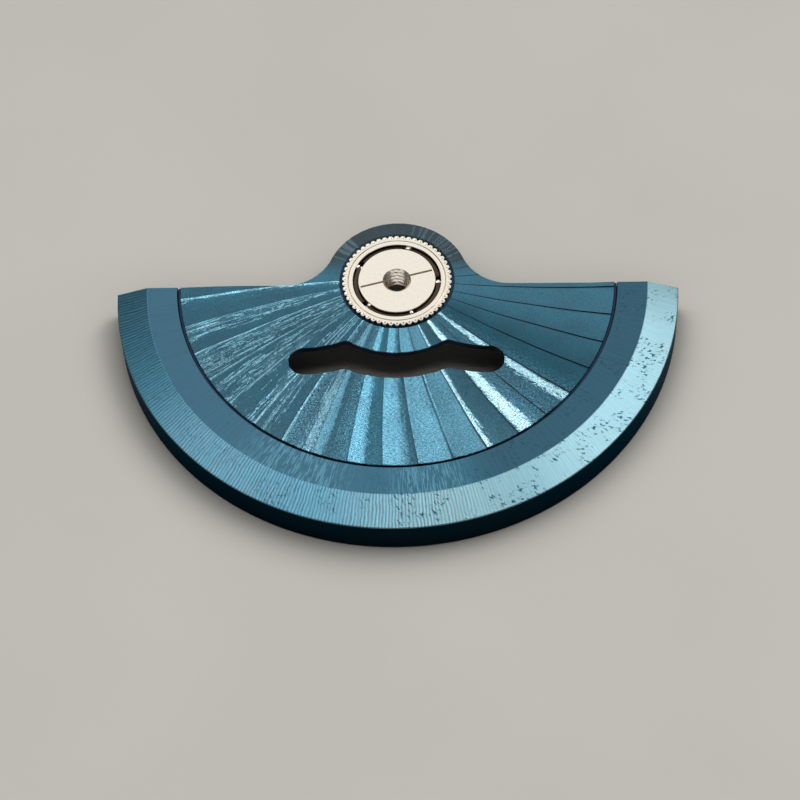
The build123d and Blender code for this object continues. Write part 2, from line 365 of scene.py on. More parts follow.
def makeFanMaterial(look):
    material, tree, surface = newMaterial("bluedFan")
    pleat, radius, _ = splitPlace(addNode(tree, "ShaderNodeUVMap", {"uv_map": "fanPlace"}))
    world, north, turn = placeAndTurn(tree)
    leftness = turn.byDegrees(*look["leftTurn"])
    openness = turn.byDegrees(*look["openTurn"])
    share, number = maths("FRACT", pleat), maths("FLOOR", pleat)
    # Arc length inside each pleat, so that grain keeps its size along the radius
    arc = (share - 0.5) * (radius * look["pleatTurn"]) + number * look["pleatShift"]
    arcPlace = addNode(tree, "ShaderNodeCombineXYZ", None, {"X": arc, "Y": radius})
    mottle, mottleFine = brush(turned(arcPlace, look["mottleLean"]), *look["mottle"])
    streaks, streaksFine = brush(arcPlace, *look["streaks"])
    _, grainFine = brush(arcPlace, *look["grain"])
    dirt = specks(world, look["speckSize"], look["speckAmount"])
    paintedFootShade = share.remap(*look["paintedFootShade"]) * turn.byDegrees(-100, -80, look["paintedFootShadeLeft"], 1.0)
    lobeShade = north.remap(*look["lobeShadeFrom"])
    # Slope of this place in its pleat, made ragged by the mottle and the streaks
    middle = math.radians(-7) - number * math.radians(9)
    level, bend, curl = look["tilt"]
    tilt = level + share * (bend + share * curl)
    mottleRagged = between(leftness, look["mottleRagged"], True)
    streakRagged = between(leftness, look["streakRagged"], True)
    tilt = tilt + ((mottle - 0.5) * mottleRagged + (streaks - 0.5) * streakRagged)

    def suitedTilt(azimuth, reach):
        return maths("SINE", math.radians(azimuth) - middle) * reach

    ways = []
    for azimuth, half, strength, first in look["paintedHighlightWays"]:
        gap = abs(tilt - suitedTilt(azimuth, look["paintedHighlightReach"]))
        here = gap.remap(half, half * 0.4, 0.0, strength)
        ways.append(here * maths("LESS_THAN", middle, math.radians(first)))
    paintedHighlight = highest(ways) * lobeShade.remap(0.0, 1.0, 1.0, 0.10)
    # On the left the painted highlights break up into fine lines along the pleats
    lines = highest([streaksFine.remap(0.38, 0.60), leftness.remap(0.0, 0.6, 1.0, 0.18)])
    # Painted highlights: the crests on the left are painted as thin bright lines, some
    # brighter than others; the sine of the pleat's number tells which
    crest = share.remap(*look["paintedCrestLine"]) * turn.byDegrees(*look["paintedCrestTurn"])
    crest = crest * streaksFine.remap(0.35, 0.52, 0.35, 1.0)
    crest = crest * maths("SINE", number * 2.1).remap(-1.0, 1.0, 0.35, 1.0)
    paintedHighlight = highest([paintedHighlight * lines, crest * lobeShade.remap(0.0, 1.0, 1.0, 0.2)])
    # Painted sheen where a pleat's slope suits the given way of the light, on the middle pleats
    brushGrainAndPaintedSheen = (tilt - suitedTilt(*look["paintedSheenWay"])).remap(-0.020, 0.014)
    for ends in look["paintedSheenTurns"]:
        brushGrainAndPaintedSheen = brushGrainAndPaintedSheen * middle.byDegrees(*ends)
    # The lobe's dark colour is painted shade
    colour = blend(lobeShade, look["blue"], look["lobe"])
    colour = blend(brushGrainAndPaintedSheen, colour, look["brushGrainAndPaintedSheen"])
    # The painted highlights take a paler blue
    paintedHighlightTint = blend(turn.byDegrees(*look["paintedHighlightTurn"]), look["paintedHighlightLeft"], look["polished"])
    colour = blend(paintedHighlight, colour, paintedHighlightTint)
    # Painted shade along the foot of each step, then dirt specks in the same dark colour
    colour = blend(paintedFootShade, colour, look["foot"])
    colour = blend(dirt * 0.5, colour, look["foot"])
    # Random tone and grain, times painted shading by azimuth and a painted glow round the middle
    toneAndPaintedShading = noise(world, 0.7, 2.0).remap(0.3, 0.7, 0.92, 1.08)
    toneAndPaintedShading = toneAndPaintedShading * mottleFine.remap(0.3, 0.7, 0.74, 1.26)
    for change in look["paintedShadingTurns"]:
        toneAndPaintedShading = toneAndPaintedShading * turn.byDegrees(*change)
    azimuth, half, glow = look["paintedMiddleGlow"]
    toneAndPaintedShading = toneAndPaintedShading * (1.0 + nearAzimuth(turn, azimuth, half) * glow)
    coat, more = (turn.byDegrees(*change) for change in look["coatTurns"])
    mottleSlope = between(leftness, look["mottleSlope"])
    streakSlope = between(leftness, look["streakSlope"])
    tangent = addNode(
        tree, "ShaderNodeTangent", {"direction_type": "UV_MAP", "uv_map": "radialTangent"}
    )
    # Each groove has two flanks, so the slope swings from one side to the other
    normal = addNode(tree, "ShaderNodeGroup", {"node_tree": leanGroup}, {
        "Tangent": tangent,
        "Along": grainFine.remap(0.42, 0.58, -1.0, 1.0) * between(openness, look["grainSlope"]),
        "Across": (mottle - 0.5) * mottleSlope + (streaks - 0.5) * streakSlope,
    })
    feedInputs(surface, {
        "Metallic": 1, "Anisotropic": 1, "Roughness": look["roughness"],
        "Base Color": scaled(colour, toneAndPaintedShading), "Normal": normal, "Tangent": tangent,
        "Coat Weight": coat * more, "Coat Roughness": look["coatRoughness"],
        "Coat Normal": normal,
    })
    return material


# Blued rim: the flat band, and the bevel with its even milling lines; their sides and lines
# carry painted light and shade

bandFinish = {
    "blue": (0.030, 0.120, 0.186),
    "paintedLightRightBlue": (0.026, 0.130, 0.200),
    "lighterPatch": (0.082, 0.245, 0.335),
    "lighterPlaces": ((-114, 17), (-82, 12)),  # azimuth and half width of lighter places, degrees
    "dark": (0.006, 0.030, 0.048),
    "roughness": 0.34,
    "anisotropy": 0.75,
    "coatSides": (0.62, 0.5),  # left, right
    "coatRoughness": 0.28,
    "coatIor": 1.5,
    "rightShade": 0.72,  # painted shade: how bright the right side is beside the left
    "lineHeight": 0.0015,  # mm
    "lineShade": 0.0,  # how much the milling lines lighten and darken the colour, as painted light and shade
    "fleckShare": 0.3,
}
bevelFinish = {
    "blue": (0.027, 0.200, 0.305),
    "paintedLightRightBlue": (0.075, 0.208, 0.252),
    "lighterPatch": (0.060, 0.210, 0.300),
    "lighterPlaces": ((-128, 20),),
    "dark": (0.006, 0.035, 0.055),
    "roughness": 0.34,
    "anisotropy": 0.6,
    "coatSides": (0.75, 1.0),
    "coatRoughness": 0.28,
    "coatIor": 1.8,
    "rightShade": 1.0,
    "lineHeight": 0.0035,
    "lineShade": 0.50,
    "fleckShare": 0.95,
}
rimLines = {
    "pitch": 0.147,  # mm
    "fade": (-88, -62),  # degrees round the hub
    "wander": (3.4, 9.0),  # how far the fine grain and the patches push the lines, in radians
    # Width and length in mm, and seed
    "brushGrainAndPaintedSheen": (0.06, 3.0, 1.0),
    "short": (0.06, 0.16, 7.0),
    "ticks": (0.075, 0.75, 11.0),
    "fleckSize": 0.11,
    "fleckAmount": 0.80,
    "fleckLean": 35,  # degrees off the radius
    "fleckStretch": (1.0, 0.4, 1.0),
}


def makeRimMaterial(name, look, line):
    material, tree, surface = newMaterial(name)
    place = addNode(tree, "ShaderNodeUVMap", {"uv_map": "turnPlace"})
    around = splitPlace(place)[0]
    world, _, turn = placeAndTurn(tree)
    brushGrainAndPaintedSheen, brushedFine = brush(place, *line["brushGrainAndPaintedSheen"])
    short, shortFine = brush(place, *line["short"])
    ticks, ticksFine = brush(place, *line["ticks"])
    patches = noise(world, 0.9, 2.0, 0.6)
    # Even lines across the rim, a little wavy, that fade out on the right; they raise the bump
    # and lighten and darken the colour as painted light and shade
    wander = short * line["wander"][0] + patches * line["wander"][1]
    fade = turn.byDegrees(*line["fade"], 1.0, 0.12) * ticks.remap(0.35, 0.60, 0.45, 1.25)
    wave = maths("SINE", around * (2 * math.pi / line["pitch"]) + wander) * fade
    stretched = vectorMaths("MULTIPLY", turned(place, line["fleckLean"]), line["fleckStretch"])
    flecks = specks(stretched, line["fleckSize"], line["fleckAmount"])
    marks = flecks * patches.remap(0.47, 0.58) * turn.byDegrees(-150, -75, 0.25, 1.0)
    marks = marks * look["fleckShare"]
    # Lighter patches of the blue at set azimuths
    lighterPatch = highest([nearAzimuth(turn, *ends) for ends in look["lighterPlaces"]])
    # The right side's colour is painted light
    blue = blend(turn.byDegrees(-112, -76), look["blue"], look["paintedLightRightBlue"])
    colour = blend(lighterPatch * ticksFine.remap(0.46, 0.62), blue, look["lighterPatch"])
    colour = blend(marks, colour, look["dark"])
    # Random tone, the milling lines' painted light and shade, and painted shade on the right
    shade = brushedFine.remap(0.3, 0.7, 0.93, 1.06) + wave * look["lineShade"]
    shade = shade * turn.byDegrees(-76, -64, 1.0, look["rightShade"])
    rough = look["roughness"]
    height = (wave * 0.3 + (short + brushGrainAndPaintedSheen)) * look["lineHeight"]
    feedInputs(surface, {
        "Metallic": 1, "Anisotropic": look["anisotropy"],
        "Coat Roughness": look["coatRoughness"], "Coat IOR": look["coatIor"],
        "Coat Weight": turn.byDegrees(-150, -70, *look["coatSides"]) * (1.0 - marks),
        "Base Color": scaled(colour, shade), "Normal": bumped(height),
        "Roughness": shortFine.remap(0.3, 0.7, rough - 0.04, rough + 0.04),
        "Tangent": addNode(
            tree, "ShaderNodeTangent", {"direction_type": "UV_MAP", "uv_map": "turnPlace"}
        ),
    })
    return material


# Plain metals: the dark walls and undersides, and the recesses, in painted shade, the blue
# underside, bearing steel, the brass cage in painted shade, and the counterbore wall with a
# painted highlight

metals = {
    # Painted shade: the near-black walls, bottom and ends of the rim
    "wallPaintedShade": dict(colour=(0.008, 0.018, 0.024), roughness=0.42, edge=(0.35, 0.50, 0.60)),
    # Painted shade in the slot, groove, seat and other recess walls
    "recessPaintedShade": dict(colour=(0.012, 0.028, 0.062), roughness=0.35, coat=0.2),
    "undersideBlue": dict(colour=(0.022, 0.085, 0.135), roughness=0.35, coat=0.4),
    "bearingSteel": dict(colour=(0.75, 0.69, 0.59), roughness=0.20, grain=0.0006, dark=0.04),
    "raceSteel": dict(colour=(0.76, 0.70, 0.61), roughness=0.17, grain=0.0005, dark=0.03),
    "threadSteel": dict(colour=(0.95, 0.85, 0.74), roughness=0.18, grain=0.0005),
    "toothSteel": dict(colour=(0.70, 0.68, 0.64), roughness=0.25, grain=0.001),
    # Brass darkened to near black as painted shade in the bearing's channel
    "cageBrassPaintedShade": dict(colour=(0.075, 0.055, 0.035), roughness=0.40, grain=0.0015),
    # A paler blue as a painted highlight on the counterbore wall
    "bluedWallPaintedHighlight": dict(colour=(0.20, 0.38, 0.44), roughness=0.30, grain=0.001, metallic=0.3),
    "ballSteel": dict(colour=(0.90, 0.89, 0.87), roughness=0.06, grain=0.0001, dark=0.02),
    "scribedDark": dict(colour=(0.26, 0.20, 0.14), roughness=0.45),
}


def makeMetal(
    name, colour, roughness, grain=0.002, coat=0.0, dark=0.15, metallic=1.0, edge=(1.0, 1.0, 1.0)
):
    # grain is its height in mm, dark how much the patches darken, edge the glancing colour
    material, tree, surface = newMaterial(name)
    patches = noise(objectMillimetres(tree), 7.0, 3.0, 0.6)
    feedInputs(surface, {
        "Base Color": scaled(colour, patches.remap(0.3, 0.7, 1 - dark, 1 + dark / 2)),
        "Roughness": patches.remap(0.3, 0.7, roughness * 0.85, roughness * 1.15),
        "Normal": bumped(patches * grain), "Metallic": metallic, "Specular Tint": edge,
        "Coat Weight": coat,
    })
    return material


materials = {name: makeMetal(name, **look) for name, look in metals.items()}
materials["bluedFan"] = makeFanMaterial(fanFinish)
materials["bluedBand"] = makeRimMaterial("bluedBand", bandFinish, rimLines)
materials["bluedBevel"] = makeRimMaterial("bluedBevel", bevelFinish, rimLines)
print("materials made")


# Mesh helpers; every size is in mm until the mesh is written

# Radii at which the U of lathed pieces, and of the rim, is a true length
latheUvRadius = 2.0
rimUvRadius = 12


def writeMesh(name, points, faces, faceSlots, slotNames, uvLayers, sharpAngle):
    mesh = bpy.data.meshes.new(name)
    mesh.from_pydata([tuple(c * mm for c in p) for p in points], [], faces)
    for slotName in slotNames:
        mesh.materials.append(materials[slotName])
    mesh.polygons.foreach_set("material_index", faceSlots)
    for layerName, layerPlaces in uvLayers.items():
        layer = mesh.uv_layers.new(name=layerName)
        layer.data.foreach_set("uv", [c for face in layerPlaces for uv in face for c in uv])
    mesh.polygons.foreach_set("use_smooth", [True] * len(mesh.polygons))
    mesh.update()
    mesh.set_sharp_from_angle(angle=math.radians(sharpAngle))
    shape = bmesh.new()
    shape.from_mesh(mesh)
    bmesh.ops.recalc_face_normals(shape, faces=shape.faces)
    shape.to_mesh(mesh)
    shape.free()
    return addObject(name, mesh)


def at(value, angle):
    return value(angle) if callable(value) else value


def sweep(rows, turns, closed, uvRadius):
    # Runs a closed profile round the axis, through the angles listed for each of its rows. A
    # row has a radius, a height and the slot of the face that follows, and the first two may
    # be functions of the angle.
    points, faces, slots, uvs, lengths = [], [], [], [], [0.0]
    across = len(turns[0]) - closed
    for (r0, z0, _), (r1, z1, _) in zip(rows, rows[1:] + rows[:1]):
        step = math.hypot(at(r1, 0.0) - at(r0, 0.0), at(z1, 0.0) - at(z0, 0.0))
        lengths.append(lengths[-1] + step)
    for i, (radius, height, slot) in enumerate(rows):
        j = (i + 1) % len(rows)
        here, there = ([angle * uvRadius for angle in turns[n]] for n in (i, j))
        v0, v1 = lengths[i], lengths[i + 1]
        for a in turns[i][:across]:
            r = at(radius, a)
            points.append((r * math.cos(a), r * math.sin(a), at(height, a)))
        for k in range(len(turns[0]) - 1):
            n = (k + 1) % across
            faces.append((i * across + k, i * across + n, j * across + n, j * across + k))
            slots.append(slot)
            uvs.append(((here[k], v0), (here[k + 1], v0), (there[k + 1], v1), (there[k], v1)))
    return points, faces, slots, uvs


def latheMesh(name, rows, steps, slotNames, sharpAngle):
    turns = [[2 * math.pi * k / steps for k in range(steps + 1)]] * len(rows)
    points, faces, slots, uvs = sweep(rows, turns, True, latheUvRadius)
    return writeMesh(name, points, faces, slots, slotNames, {"turnPlace": uvs}, sharpAngle)


def polar(centre, radius, degrees):
    turn = math.radians(degrees)
    return centre[0] + radius * math.cos(turn), centre[1] + radius * math.sin(turn)


def angleAt(centre, point):
    return math.degrees(math.atan2(point[1] - centre[1], point[0] - centre[0]))


def arcPoints(centre, radius, start, end, step=0.04):
    # start and end in degrees; points about step mm apart
    count = max(2, int(abs(math.radians(end - start)) * radius / step))
    return [polar(centre, radius, start + (end - start) * k / count) for k in range(count + 1)]


def mirrored(right):
    # Closes a half outline that starts and ends on the middle line
    left = [(-x, y) for x, y in reversed(right)]
    return right[:-1] + left[:-1]


def circlesMeet(c0, r0, c1, r1):
    # The lower of the two places where the circles cross
    dx, dy = c1[0] - c0[0], c1[1] - c0[1]
    span = math.hypot(dx, dy)
    reach = (r0**2 - r1**2 + span**2) / (2 * span)
    half = math.sqrt(max(0.0, r0**2 - reach**2))
    mx, my = c0[0] + dx * reach / span, c0[1] + dy * reach / span
    across, upwards = half * dy / span, half * dx / span
    return min((mx + across, my - upwards), (mx - across, my + upwards), key=lambda p: p[1])


# Fan plate: the sheet's outline is cut along every pleat line, then pressed

fanPlate = {
    "bottom": 0.88,
    "radius": 10.195,
    "chord": -0.18,  # how high the straight side lies beside the hub
    "lobe": 3.38,  # radius round the hub
    "web": 2.40,  # radius of the hollows beside the lobe
    "seatRadius": 2.69,  # recess under the pinion's lip
    "seatFloor": 1.05,
    "bore": 2.42,
    "edge": 0.022,  # chamfer round every edge of the top
    "pleats": 40,
    "startAngle": -2.5,
    "skew": 0.11,  # how far the step lines pass beside the hub's centre
    "strips": 12,  # across a pleat
    "crestTilt": 5.5,  # degrees, at the crest, at a third of the way and at the foot
    "thirdTilt": 2.6,
    "footTilt": -0.6,
    "bow": 0.19,  # how far the pleat lines bow, where, and over what half width
    "bowReach": 5.9,
    "bowSpread": 4.6,
    "rise": 0.13,  # how far above the hub they run together
    "slotInner": 4.07,  # radii of the slot's middle
    "slotOuter": 5.45,
    "wingCentre": (4.35, 1.30),  # centre, radii and end of the slot's right wing
    "wingInner": 5.05,
    "wingOuter": 6.50,
    "wingEnd": 4.25,
    "peakRound": 0.35,  # radii of the corners between middle and wing
    "cuspRound": 0.20,
}


def plateOutline(size):
    webY = size["web"] + size["chord"]
    webX = math.sqrt((size["lobe"] + size["web"]) ** 2 - webY**2)
    meet = math.degrees(math.atan2(webY, webX))
    corner = math.degrees(math.asin(-size["chord"] / size["radius"]))
    right = arcPoints((0, 0), size["radius"], -90, -corner)
    right += arcPoints((webX, webY), size["web"], 270, 180 + meet)
    right += arcPoints((0, 0), size["lobe"], meet, 90)[1:]
    return mirrored(right)


def slotOutline(size):
    centre = size["wingCentre"]
    middle = (size["wingInner"] + size["wingOuter"]) / 2
    endAngle = -90 - math.degrees(math.asin((centre[0] - size["wingEnd"]) / middle))
    rows = []
    for inner, wing, rounding in (
        (size["slotInner"], size["wingInner"], size["peakRound"]),
        (size["slotOuter"], size["wingOuter"], size["cuspRound"]),
    ):
        # An arc that touches both circles from outside rounds the corner between them
        rounded = circlesMeet((0, 0), inner + rounding, centre, wing + rounding)
        onMiddle, onWing = angleAt((0, 0), rounded), angleAt(centre, rounded)
        start = angleAt(rounded, polar((0, 0), inner, onMiddle))
        end = angleAt(rounded, polar(centre, wing, onWing))
        turn = (end - start + 180) % 360 - 180
        # The middle arc starts under the hub and turns to the corner on the right
        row = arcPoints((0, 0), inner, -90, onMiddle)
        row += arcPoints(rounded, rounding, start, start + turn, 0.02)[1:]
        row += arcPoints(centre, wing, onWing % 360 - 360, endAngle)[1:]
        rows.append(row)
    half = (size["wingOuter"] - size["wingInner"]) / 2
    endMiddle = polar(centre, middle, endAngle)
    cap = arcPoints(endMiddle, half, endAngle + 180, endAngle, 0.03)[1:-1]
    return mirrored(rows[0] + cap + list(reversed(rows[1])))


def circleOutline(radius, count=240):
    return [
        (radius * math.cos(2 * math.pi * k / count), radius * math.sin(2 * math.pi * k / count))
        for k in range(count)
    ]


def insetLoop(loop, amount):
    # Moves each point of a closed loop to its left by amount
    moved = []
    for before, here, after in zip(loop[-1:] + loop[:-1], loop, loop[1:] + loop[:1]):
        first = Vector((here[0] - before[0], here[1] - before[1])).normalized()
        second = Vector((after[0] - here[0], after[1] - here[1])).normalized()
        leftFirst = Vector((-first.y, first.x))
        leftSecond = Vector((-second.y, second.x))
        middle = (leftFirst + leftSecond).normalized()
        step = amount / max(0.3, middle.dot(leftFirst))
        moved.append((here[0] + middle.x * step, here[1] + middle.y * step))
    return moved


def signedArea(loop):
    return sum(a[0] * b[1] - b[0] * a[1] for a, b in zip(loop, loop[1:] + loop[:1])) / 2


def panelShare(size, x, y, number):
    # Share across a pleat, 0 at its crest and 1 at its foot, and the pleat's width there
    step = 360 / size["pleats"]
    foot = math.radians(size["startAngle"] - step * number)
    crest = foot - math.radians(step)
    fromFoot = -(-x * math.sin(foot) + y * math.cos(foot) + size["skew"])
    fromCrest = -x * math.sin(crest) + y * math.cos(crest) + size["skew"]
    width = max(1e-6, fromFoot + fromCrest)
    return fromCrest / width, width


def panelNumber(size, x, y):
    turn = size["startAngle"] - math.degrees(math.atan2(y, x))
    guess = int(math.floor(turn / (360 / size["pleats"])))
    for number in (guess, guess - 1, guess + 1):
        share, _ = panelShare(size, x, y, number)
        if -1e-6 <= share <= 1 + 1e-6:
            return number % size["pleats"]
    return guess % size["pleats"]


def pressDepth(size, share, width):
    # The tilt runs through three set values, so the depth is the sum of a quadratic slope
    crest, third, foot = (
        math.tan(math.radians(size[key])) for key in ("crestTilt", "thirdTilt", "footTilt")
    )
    bend = (3 * (third - crest) * 3 - (foot - crest)) / 2
    curl = (foot - crest) - bend
    return width * (crest * share + bend * share**2 / 2 + curl * share**3 / 3)


def swirlShift(size, x, y):
    # The pleat lines bow clockwise between hub and rim
    reach = math.hypot(x, y)
    bow = size["bow"] * max(0.0, 1 - ((reach - size["bowReach"]) / size["bowSpread"]) ** 2)
    return bow * y / reach, size["rise"] - bow * x / reach


def swirled(size, x, y):
    dx, dy = swirlShift(size, x, y)
    return x + dx, y + dy


def unswirled(size, x, y):
    straightX, straightY = x, y
    for _ in range(4):
        dx, dy = swirlShift(size, straightX, straightY)
        straightX, straightY = x - dx, y - dy
    return straightX, straightY


def waysAt(angle):
    # Outwards and anticlockwise at an angle round the hub
    cosine, sine = math.cos(angle), math.sin(angle)
    return Vector((cosine, sine, 0)), Vector((-sine, cosine, 0))


def startOf(face, edge):
    # The corner where the walk round a face enters one of its edges
    return next(loop.vert for loop in face.loops if loop.edge == edge)


def cutAlong(sheet, faces, point, normal):
    # Cuts these faces along a line and returns them with the new ones
    geometry = {*faces, *(e for f in faces for e in f.edges), *(v for f in faces for v in f.verts)}
    made = bmesh.ops.bisect_plane(
        sheet, geom=list(geometry), dist=1e-5, plane_co=point, plane_no=normal
    )
    return [g for g in made["geom"] if isinstance(g, bmesh.types.BMFace)]


def cutSheet(size, loops):
    # A flat sheet inside the loops, cut along every pleat line
    sheet = bmesh.new()
    for loop in loops:
        corners = [sheet.verts.new((x, y, 0)) for x, y in loop]
        for a, b in zip(corners, corners[1:] + corners[:1]):
            sheet.edges.new((a, b))
    bmesh.ops.triangle_fill(sheet, edges=sheet.edges[:], use_beauty=True, normal=(0, 0, 1))
    step = math.radians(360 / size["pleats"])
    for number in range(size["pleats"]):
        outward, normal = waysAt(math.radians(size["startAngle"]) - step * number)
        ahead = [f for f in sheet.faces if any(v.co.dot(outward) > 0 for v in f.verts)]
        cutAlong(sheet, ahead, -normal * size["skew"], normal)
    panels = {}
    for face in sheet.faces:
        middle = face.calc_center_median()
        panels.setdefault(panelNumber(size, middle.x, middle.y), []).append(face)
    for number, faces in panels.items():
        foot = math.radians(size["startAngle"]) - step * number
        for strip in range(1, size["strips"]):
            share = strip / size["strips"]
            ends = []  # near the hub and near the rim, at this share of the pleat's width
            for reach in (2.0, 11.0):
                onFoot = Matrix.Rotation(foot, 2) @ Vector((reach, -size["skew"]))
                onCrest = Matrix.Rotation(foot - step, 2) @ Vector((reach, -size["skew"]))
                ends.append(onCrest.lerp(onFoot, share))
            along = (ends[1] - ends[0]).normalized()
            faces = cutAlong(
                sheet, faces, Vector((*ends[0], 0)), Vector((-along.y, along.x, 0))
            )
        panels[number] = faces
    sheet.verts.index_update()
    return sheet, panels


def outlineFinder(loops, outlines):
    # Gives the place on the outline that belongs to a point on the inset loops
    pairs = zip(loops, outlines)
    corners = [(loop, outline, n) for loop, outline in pairs for n in range(len(loop))]
    tree = kdtree.KDTree(len(corners))
    for number, (loop, _, n) in enumerate(corners):
        tree.insert((*loop[n], 0), number)
    tree.balance()

    def find(place):
        loop, outline, n = corners[tree.find((place[0], place[1], 0))[1]]
        best = None
        for first in (n - 1, n):
            a, b = Vector(loop[first]), Vector(loop[(first + 1) % len(loop)])
            along = b - a
            t = min(1.0, max(0.0, (place - a).dot(along) / max(1e-12, along.length_squared)))
            gap = (a + along * t - place).length
            if best is None or gap < best[0]:
                c, d = Vector(outline[first]), Vector(outline[(first + 1) % len(outline)])
                best = (gap, c.lerp(d, t))
        return best[1].x, best[1].y

    return find


tangentRadius = 5  # mm, where the V of radialTangent is a true length


def makeFanPlate(size):
    outlines = [plateOutline(size), slotOutline(size), circleOutline(size["seatRadius"])]
    # Each loop is walked so that the sheet lies to its left
    for outline in outlines:
        if (signedArea(outline) > 0) != (outline is outlines[0]):
            outline.reverse()
    loops = [insetLoop(loop, size["edge"]) for loop in outlines]
    sheet, panels = cutSheet(size, [[unswirled(size, x, y) for x, y in loop] for loop in loops])
    truePlace = {v.index: Vector(swirled(size, v.co.x, v.co.y)) for v in sheet.verts}
    findEdge = outlineFinder(loops, outlines)
    points, faces, slots, fanUvs, radialUvs = [], [], [], [], []
    # Slots: the fan, the walls and recesses in painted shade, the underside, and the counterbore
    # wall with a painted highlight
    slotNames = ["bluedFan", "recessPaintedShade", "undersideBlue", "bluedWallPaintedHighlight"]
    panelOf = {f: number for number, members in panels.items() for f in members}

    def addPoint(x, y, z):
        points.append((x, y, z))
        return len(points) - 1

    @cache
    def topPoint(vertex, number):
        share, width = panelShare(size, vertex.co.x, vertex.co.y, number)
        depth = pressDepth(size, min(1.0, max(0.0, share)), width)
        return addPoint(*truePlace[vertex.index], plateTop - depth)

    @cache
    def edgePlace(vertex):
        return findEdge(truePlace[vertex.index])

    @cache
    def rimPoint(vertex, number):
        x, y = edgePlace(vertex)
        return addPoint(x, y, points[topPoint(vertex, number)][2] - size["edge"])

    def onSeat(vertex):
        return vertex.is_boundary and truePlace[vertex.index].length < size["seatRadius"] + 0.1

    @cache
    def basePoint(vertex):
        x, y = edgePlace(vertex) if vertex.is_boundary else truePlace[vertex.index]
        shrink = size["bore"] / math.hypot(x, y) if onSeat(vertex) else 1
        return addPoint(x * shrink, y * shrink, size["bottom"])

    @cache
    def seatPoint(vertex, inner):
        x, y = edgePlace(vertex)
        shrink = size["bore"] / math.hypot(x, y) if inner else 1
        return addPoint(x * shrink, y * shrink, size["seatFloor"])

    def addFace(corners, slot, number=None):
        faces.append(corners)
        slots.append(slotNames.index(slot))
        places = [points[c] for c in corners]
        middleAngle = math.atan2(sum(p[1] for p in places), sum(p[0] for p in places))
        fan, radial = [], []
        for x, y, _ in places:
            r = math.hypot(x, y)
            turn = (math.atan2(y, x) - middleAngle + math.pi) % (2 * math.pi) - math.pi
            radial.append((r, (middleAngle + turn) * tangentRadius))
            if number is None:
                fan.append((0.5, r))
            else:
                share, _ = panelShare(size, *unswirled(size, x, y), number)
                fan.append((number + min(0.999, max(0.001, share)), r))
        fanUvs.append(fan)
        radialUvs.append(radial)

    for face, number in panelOf.items():
        addFace([topPoint(v, number) for v in face.verts], "bluedFan", number)
        addFace([basePoint(v) for v in reversed(face.verts)], "undersideBlue")
    # At a point of the sheet's edge: the step that ends there, and the pleats that meet
    stepsAt, numbersAt = {}, {}
    for edge in sheet.edges:
        if edge.is_boundary:
            for v in edge.verts:
                numbersAt.setdefault(v.index, set()).add(panelOf[edge.link_faces[0]])
        sides = [(f, panelOf[f]) for f in edge.link_faces]
        if len(sides) == 2 and sides[0][1] != sides[1][1]:
            a, b = edge.verts
            (f0, k0), (_, k1) = sides
            if startOf(f0, edge) == a:
                a, b = b, a
            corners = [topPoint(a, k0), topPoint(b, k0), topPoint(b, k1), topPoint(a, k1)]
            addFace(corners, "bluedFan")
            for v in (a, b):
                if v.is_boundary:
                    stepsAt[v.index] = (v, k0, k1)

    def lowerAt(vertex, number):
        # The other pleat's edge point straight below this one, where a step meets the edge
        own = points[rimPoint(vertex, number)][2]
        others = [rimPoint(vertex, k) for k in numbersAt[vertex.index] if k != number]
        return [c for c in others if points[c][2] < own - 1e-9]

    for edge in sheet.edges:
        if not edge.is_boundary:
            continue
        face = edge.link_faces[0]
        number = panelOf[face]
        a = startOf(face, edge)
        b = edge.other_vert(a)
        addFace(
            [topPoint(b, number), topPoint(a, number), rimPoint(a, number), rimPoint(b, number)],
            "bluedFan", number,
        )
        feet = [seatPoint(v, False) if onSeat(v) else basePoint(v) for v in (a, b)]
        # Walls round the seat take a painted highlight, the others painted shade
        addFace(
            [rimPoint(b, number), rimPoint(a, number), *lowerAt(a, number), feet[0], feet[1],
             *lowerAt(b, number)],
            "bluedWallPaintedHighlight" if onSeat(a) else "recessPaintedShade",
        )
        if onSeat(a):
            inner = [seatPoint(v, True) for v in (a, b)]
            addFace([feet[1], feet[0], inner[0], inner[1]], "recessPaintedShade")
            addFace([inner[1], inner[0], basePoint(a), basePoint(b)], "recessPaintedShade")
    for v, high, low in stepsAt.values():
        if points[topPoint(v, high)][2] <= points[topPoint(v, low)][2]:
            high, low = low, high
        addFace(
            [topPoint(v, high), topPoint(v, low), rimPoint(v, low), rimPoint(v, high)],
            "bluedFan", high,
        )
    sheet.free()
    piece = writeMesh(
        "fanPlate", points, faces, slots, slotNames,
        {"fanPlace": fanUvs, "radialTangent": radialUvs}, 22,
    )
    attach(piece, "rotor")
    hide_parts("rotor_plate")


makeFanPlate(fanPlate)
print("fan plate made")


# Rim weight: its profile swept round to the plane of the straight side

rimWeight = {
    "chord": 0.23,  # how far the end faces lie below the bearing's axis
    "steps": 620,
    # The ends take painted shade
    "ends": "wallPaintedShade",
    # radius, height, finish of the face that follows
    "profile": [
        (9.45, -1.05, "undersideBlue"),
        # The ledge and the groove's wall take painted shade
        (9.45, 0.88, "recessPaintedShade"),
        (10.31, 0.88, "recessPaintedShade"),
        (10.31, 1.10, "recessPaintedShade"),
        (10.33, 1.185, "bluedBand"),
        (10.345, 1.20, "bluedBand"),
        (10.60, 1.20, "bluedBand"),
        (11.735, 1.20, "bluedBevel"),
        (11.765, 1.194, "bluedBevel"),
        (12.40, 0.953, "bluedBevel"),
        (13.17, 0.661, "bluedBevel"),
        (13.195, 0.645, "bluedBevel"),
        # The outer wall and the bottom take painted shade
        (13.20, 0.615, "wallPaintedShade"),
        (13.20, -0.97, "wallPaintedShade"),
        (13.12, -1.05, "wallPaintedShade"),
    ],
}

